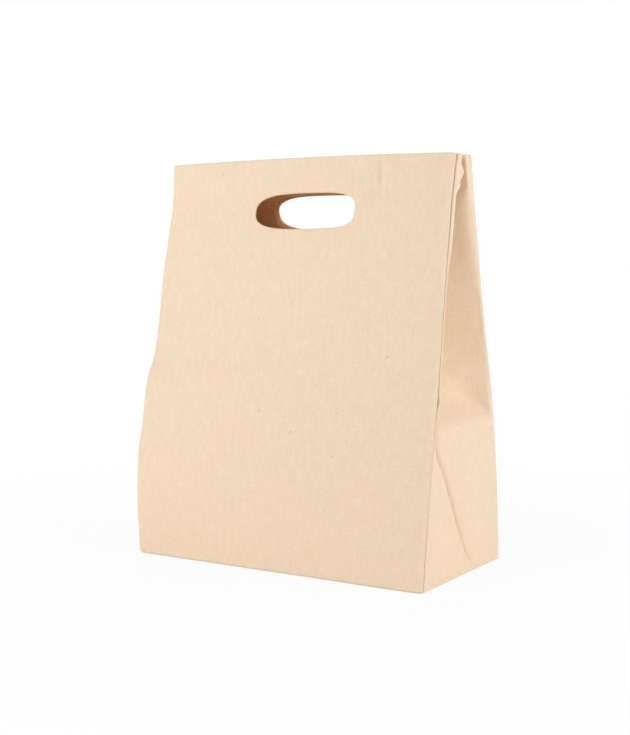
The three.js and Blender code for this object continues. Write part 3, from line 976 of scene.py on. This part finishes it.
def behind_pleat(side, hand, y, z):
    """How far in a seam's edge has to bend where the pleat beside it turns in."""
    front_corner, back_corner, valley, back_knee = pleat_points(hand, z)[2:]
    if side == "front":
        beyond, run = y - front_corner.y, valley - front_corner
    else:
        beyond, run = back_corner.y - y, back_knee - back_corner
    return max(beyond + CORNER_ROUND, 0) * min(abs(run.x / run.y), TAPE_STEEPEST)


def on_seam_tape(side, hand, past, z, depth):
    """A point on a seam's tape, at a depth out from the middle of its layer."""
    into, layer = folded_tape(past)
    apart = (1 - layer) * TAPE_HALF_GAP * pinched(TAPE_TOP - z, z - TAPE_FOOT)
    wavy = TAPE_WAVE * noise.noise(Vector((z / TAPE_WAVE_LENGTH, hand * TAPE_SEED_STEP, INWARD[side])))
    y = wall_y(side, hand * TAPE_OUTER, z) + INWARD[side] * (TAPE_NEAR + into)
    x = TAPE_OUTER - TAPE_HALF_GAP + apart + wavy - behind_pleat(side, hand, y, z)
    outwards = depth if layer < 1 else -depth
    return Vector((hand * (x + outwards), y, z))


def make_seam_tape(side, name, hand):
    piece = cloth(f"{side}_{name}_seam_tape", tape_lines(), evenly(TAPE_FOOT, TAPE_TOP, TAPE_ROW))
    lay_weave(piece)
    shape_cloth(piece, lambda past, z: on_seam_tape(side, hand, past, z, 0))
    give_thickness(piece, TAPE)
    piece.data.materials.append(tape)
    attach(piece, f"{side}_wall")
    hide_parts(f"{side}_{name}_seam_binding")


for side in INWARD:
    for name, hand in HANDS:
        make_seam_tape(side, name, hand)


# Base bindings: the same tape over the seam between each gusset and the base.
# It lies flat on the base panel, with its folded edge towards the middle of the bag.
BASE_TAPE_EDGE = 134.5
BASE_TAPE_LOW = 2.1
BASE_TAPE_HALF_LENGTH = 58.5
BASE_TAPE_WAVE = 0.2
BASE_TAPE_WAVE_LENGTH = 12
BASE_TAPE_SEED_STEP = 5


def on_base_tape(hand, past, y, depth):
    """A point on a base seam's tape, at a depth out from the middle of its layer."""
    into, layer = folded_tape(past)
    apart = (1 - layer) * TAPE_HALF_GAP * pinched(BASE_TAPE_HALF_LENGTH - abs(y))
    wave = noise.noise(Vector((y / BASE_TAPE_WAVE_LENGTH, hand * BASE_TAPE_SEED_STEP, 1)))
    x = BASE_TAPE_EDGE - into + BASE_TAPE_WAVE * wave
    z = BASE_TAPE_LOW + TAPE_HALF_GAP - apart
    return Vector((hand * x, y, z + (depth if layer > 1 else -depth)))


def make_base_tape(name, hand):
    rows = evenly(-BASE_TAPE_HALF_LENGTH, BASE_TAPE_HALF_LENGTH, TAPE_ROW)
    piece = cloth(f"{name}_base_tape", tape_lines(), rows)
    lay_weave(piece)
    shape_cloth(piece, lambda past, y: on_base_tape(hand, past, y, 0))
    give_thickness(piece, TAPE)
    piece.data.materials.append(tape)
    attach(piece, "base")
    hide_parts(f"{name}_base_binding")


for name, hand in HANDS:
    make_base_tape(name, hand)


# Stitching: rows of short lockstitches in cotton thread that hold each edge, hem and tape.
# Each row is made from one stitch, laid along its line a stitch at a time.
STITCH_LENGTH = 2.4
STITCH_PITCH = 3.1
STITCH_HALF_WIDTH = 0.3
STITCH_HALF_HEIGHT = 0.24
STITCH_SUNK = 0.05
STITCH_PROBE = 0.4
OUTSIDE_ROW_END = 136
INSIDE_ROW_END = 130
FACING_FACE = FACING_DEPTH + FACING_CANVAS / 2
HOLE_ROW = 3.4
HOLE_ROW_POINTS = 240
HEM_MARGIN = 4
TAPE_MARGIN = 2.6
TAPE_STITCH_LINE = 2 * TAPE_WIDTH + TAPE_ROUND - TAPE_MARGIN
TAPE_ROW_INSET = 3
GUSSET_HEM_ROW = GUSSET_TOP - HEM_DEPTH + HEM_MARGIN
HEM_INSIDE_ENDS = (15, 60)
HEM_OUTSIDE_ENDS = (2, 60)

# Length along half a gusset's hem, and the band that is reached there
HEM_BANDS = ((0, 0), (8, 1), (13, 2), (46, 3), (54, 4), (64, 5))


def cotton_thread():
    """Two-ply cotton: a slanting twist along each stitch."""
    thread = bpy.data.materials.new("cotton_thread")
    thread.use_nodes = True
    shader = thread.node_tree.nodes["Principled BSDF"]
    around = add_node(thread, "ShaderNodeUVMap").outputs["UV"]
    twist = add_node(thread, "ShaderNodeTexWave", Vector=around, Scale=1.2)
    twist.bands_direction = "DIAGONAL"
    shade = mixed(thread, twist.outputs["Fac"], colour(228, 204, 174), colour(248, 234, 214))
    bump = add_node(thread, "ShaderNodeBump", Height=twist.outputs["Fac"], Strength=0.4, Distance=0.0001)
    wire(thread, shader, Base_Color=shade, Normal=bump.outputs[0], Roughness=0.7)
    return thread


thread = cotton_thread()

bpy.ops.object.select_all(action="DESELECT")
bpy.ops.mesh.primitive_uv_sphere_add(segments=6, ring_count=6, radius=1)
one_stitch = bpy.context.object
stitch_size = [size * MM for size in (STITCH_LENGTH / 2, STITCH_HALF_WIDTH, STITCH_HALF_HEIGHT)]
bpy.ops.object.mode_set(mode="EDIT")
bpy.ops.mesh.select_all(action="SELECT")
bpy.ops.transform.rotate(value=QUARTER, orient_axis="Y", center_override=(0, 0, 0))
bpy.ops.transform.resize(value=stitch_size, center_override=(0, 0, 0))
bpy.ops.object.mode_set(mode="OBJECT")
bpy.ops.object.shade_smooth()
one_stitch.data.materials.append(thread)


def sew(name, lines, node):
    """A row of stitches along each line of places, where a place gives a point for a length and a height."""
    bpy.ops.object.select_all(action="DESELECT")
    row = []
    for place, start, end in lines:
        count = int((end - start) / STITCH_PITCH)
        for i in range(count + 1):
            at = start + (end - start) * i / count
            here = place(at, 0)
            along = (place(at + STITCH_PROBE, 0) - place(at - STITCH_PROBE, 0)).normalized()
            out = (place(at, STITCH_PROBE) - here).normalized()
            side = out.cross(along).normalized()
            stitch = one_stitch.copy()
            stitch.data = one_stitch.data.copy()
            turn = Matrix((along, side, along.cross(side))).transposed().to_4x4()
            stitch.data.transform(Matrix.Translation(here * MM) @ turn)
            bpy.context.scene.collection.objects.link(stitch)
            stitch.select_set(True)
            row.append(stitch)
    bpy.context.view_layer.objects.active = row[0]
    bpy.ops.object.join()
    row[0].name = row[0].data.name = name
    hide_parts(node)
    return row[0]


def hole_line(hole_x):
    """Points round the hand hole, a little way out from its edge."""
    points = []
    for i in range(HOLE_ROW_POINTS):
        angle = math.tau * i / HOLE_ROW_POINTS
        c, s = math.cos(angle), math.sin(angle)
        reach = 1 / hole_size(HOLE_HALF_WIDTH * c, HOLE_HALF_HEIGHT * s)
        edge = Vector((HOLE_HALF_WIDTH * reach * c, HOLE_HALF_HEIGHT * reach * s))
        out = Vector((c / HOLE_HALF_WIDTH, s / HOLE_HALF_HEIGHT)).normalized()
        points.append(edge + out * HOLE_ROW + Vector((hole_x, HOLE_Z)))
    return points


def along_line(points, at):
    """The point at a length along a closed line."""
    for i, point in enumerate(points):
        after = points[(i + 1) % len(points)]
        step = (after - point).length
        if at <= step:
            return point.lerp(after, at / step)
        at -= step
    return along_line(points, at)


for side in INWARD:
    wall = f"{side}_wall"
    round_line = hole_line(HOLE_X[side])
    round_length = sum((point - round_line[i - 1]).length for i, point in enumerate(round_line))

    def outside_top(at, out, side=side):
        return on_wall(side, at, STITCH_LINE, -out + STITCH_SUNK)

    def inside_top(at, out, side=side):
        return on_wall(side, at, STITCH_LINE, FACING_FACE + out)

    def facing_hem(at, out, side=side):
        return on_wall(side, at, FACING_FOOT + HEM_MARGIN, FACING_FACE + out)

    def round_hand_hole(at, out, side=side, line=round_line, length=round_length):
        spot = along_line(line, at % length)
        flare = hole_flare(side, spot.x - HOLE_X[side], spot.y)
        return on_wall(side, spot.x, spot.y, FACING_FACE + out - flare)

    top_rows = [
        (outside_top, -OUTSIDE_ROW_END, OUTSIDE_ROW_END),
        (inside_top, -INSIDE_ROW_END, INSIDE_ROW_END),
    ]
    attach(sew(f"{side}_top_stitches", top_rows, f"{side}_top_thread"), wall)
    hem_row = [(facing_hem, -INSIDE_ROW_END, INSIDE_ROW_END)]
    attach(sew(f"{side}_facing_stitches", hem_row, f"{side}_facing_thread"), wall)
    hole_row = [(round_hand_hole, 0, round_length - STITCH_PITCH)]
    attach(sew(f"{side}_hole_stitches", hole_row, f"{side}_hole_thread"), wall)

    for name, hand in HANDS:

        def seam_row(at, out, side=side, hand=hand):
            return on_seam_tape(side, hand, TAPE_STITCH_LINE, at, TAPE / 2 + out)

        row = [(seam_row, TAPE_FOOT + TAPE_ROW_INSET, TAPE_TOP - TAPE_ROW_INSET)]
        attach(sew(f"{side}_{name}_seam_stitches", row, f"{side}_{name}_seam_thread"), wall)

for name, hand in HANDS:

    def base_row(at, out, hand=hand):
        return on_base_tape(hand, TAPE_STITCH_LINE, at, TAPE / 2 + out)

    row = [(base_row, -BASE_TAPE_HALF_LENGTH + TAPE_ROW_INSET, BASE_TAPE_HALF_LENGTH - TAPE_ROW_INSET)]
    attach(sew(f"{name}_base_stitches", row, f"{name}_base_thread"), "base")

    for half in INWARD:

        def hem_inside(at, out, hand=hand, half=half):
            depth = 2 * HEM_FOLD + CANVAS / 2 + out
            return on_gusset(hand, half, through(HEM_BANDS, at), GUSSET_HEM_ROW, depth)

        def hem_outside(at, out, hand=hand, half=half):
            return on_gusset(hand, half, through(HEM_BANDS, at), GUSSET_HEM_ROW, -CANVAS / 2 - out)

        rows = [(hem_inside, *HEM_INSIDE_ENDS), (hem_outside, *HEM_OUTSIDE_ENDS)]
        follow_wall(sew(f"{name}_{half}_hem_stitches", rows, f"{name}_gusset_thread"))

bpy.data.objects.remove(one_stitch)


# Floor and backdrop: a wide white floor under the bag, and white all round it.
# The floor keeps a faint shadow near the bag. The bag itself gets less light from above than from the sides.
FLOOR_SIZE = 30
FLOOR_DROP = 0.0002
WHITE = (1, 1, 1, 1)

bpy.ops.object.select_all(action="DESELECT")
bpy.ops.mesh.primitive_plane_add(size=FLOOR_SIZE, location=(0, 0, -FLOOR_DROP))
floor = bpy.context.object
floor.name = "floor"


def background_rays(material):
    """Rays that see the background: the camera's own, and those by way of gloss or glass."""
    rays = add_node(material, "ShaderNodeLightPath").outputs
    seen = combined(material, "MAXIMUM", rays["Is Camera Ray"], rays["Is Glossy Ray"])
    return combined(material, "MAXIMUM", seen, rays["Is Transmission Ray"])


def show_white(material, share, lit, white, output):
    """Plain white for a share of the rays, and the lit floor or sky for the rest."""
    bright = add_node(material, white, Color=WHITE, Strength=1.0).outputs[0]
    both = add_node(material, "ShaderNodeMixShader", Fac=share, n1=lit.outputs[0], n2=bright)
    wire(material, material.node_tree.nodes[output], Surface=both.outputs[0])


white_floor = bpy.data.materials.new("white_floor")
white_floor.use_nodes = True
white_floor.node_tree.nodes.remove(white_floor.node_tree.nodes["Principled BSDF"])
matt = add_node(white_floor, "ShaderNodeBsdfDiffuse", Color=(0.9, 0.9, 0.9, 1))
place = add_node(white_floor, "ShaderNodeTexCoord").outputs["Object"]
away = add_node(white_floor, "ShaderNodeVectorMath", n0=place)
away.operation = "LENGTH"
fade = add_node(white_floor, "ShaderNodeMapRange", Value=away.outputs["Value"])
wire(white_floor, fade, From_Min=0.15, From_Max=0.8, To_Min=0.92, To_Max=1.0)
floor_share = combined(white_floor, "MULTIPLY", background_rays(white_floor), fade.outputs[0])
show_white(white_floor, floor_share, matt, "ShaderNodeEmission", "Material Output")
floor.data.materials.append(white_floor)

world = bpy.data.worlds.new("white_studio")
bpy.context.scene.world = world
world.use_nodes = True
sky = world.node_tree.nodes["Background"]
direction = add_node(world, "ShaderNodeTexCoord").outputs["Generated"]
height = add_node(world, "ShaderNodeSeparateXYZ", Vector=direction).outputs["Z"]
level = add_node(world, "ShaderNodeMapRange", Value=height)
wire(world, level, From_Min=0.1, From_Max=0.9, To_Min=0.86, To_Max=0.24)
wire(world, sky, Color=WHITE, Strength=level.outputs[0])
show_white(world, background_rays(world), sky, "ShaderNodeBackground", "World Output")


# Lamps: one large soft lamp in front, above and to the left, one on the right for the side,
# and a weak one behind.
def turned_to(place, aim):
    """The turn that points a lamp or the camera from its place at an aim."""
    return (Vector(aim) - Vector(place)).to_track_quat("-Z", "Y").to_euler()


def add_lamp(name, place, aim, size, power):
    bpy.ops.object.light_add(type="AREA", location=place)
    lamp = bpy.context.object
    lamp.name = name
    lamp.data.size = size
    lamp.data.energy = power
    lamp.rotation_euler = turned_to(place, aim)


add_lamp("left_lamp", place=(-0.4, -1.05, 0.65), aim=(0, 0, 0.2), size=0.8, power=6.2)
add_lamp("right_lamp", place=(1.9, 0.35, 0.7), aim=(0, 0, 0.17), size=1.2, power=16.2)
add_lamp("back_lamp", place=(-0.7, 1.2, 0.7), aim=(0, 0, 0.17), size=0.9, power=5)


# Camera: a little above the bag and to its right, as far off as the photograph's perspective shows.
# It is aimed at a point near the middle of the bag.
CAMERA_PLACE = (0.5908, -0.9544, 0.2557)
CAMERA_AIM = (-0.0024, 0, 0.1647)
CAMERA_SENSOR = 36
CAMERA_LENS = 63.71

camera_data = bpy.data.cameras.new("camera")
camera_data.sensor_fit = "VERTICAL"
camera_data.sensor_height = CAMERA_SENSOR
camera_data.lens = CAMERA_LENS
camera = bpy.data.objects.new("camera", camera_data)
bpy.context.scene.collection.objects.link(camera)
camera.location = CAMERA_PLACE
camera.rotation_euler = turned_to(CAMERA_PLACE, CAMERA_AIM)
bpy.context.scene.camera = camera
bpy.context.scene.view_settings.view_transform = "Standard"
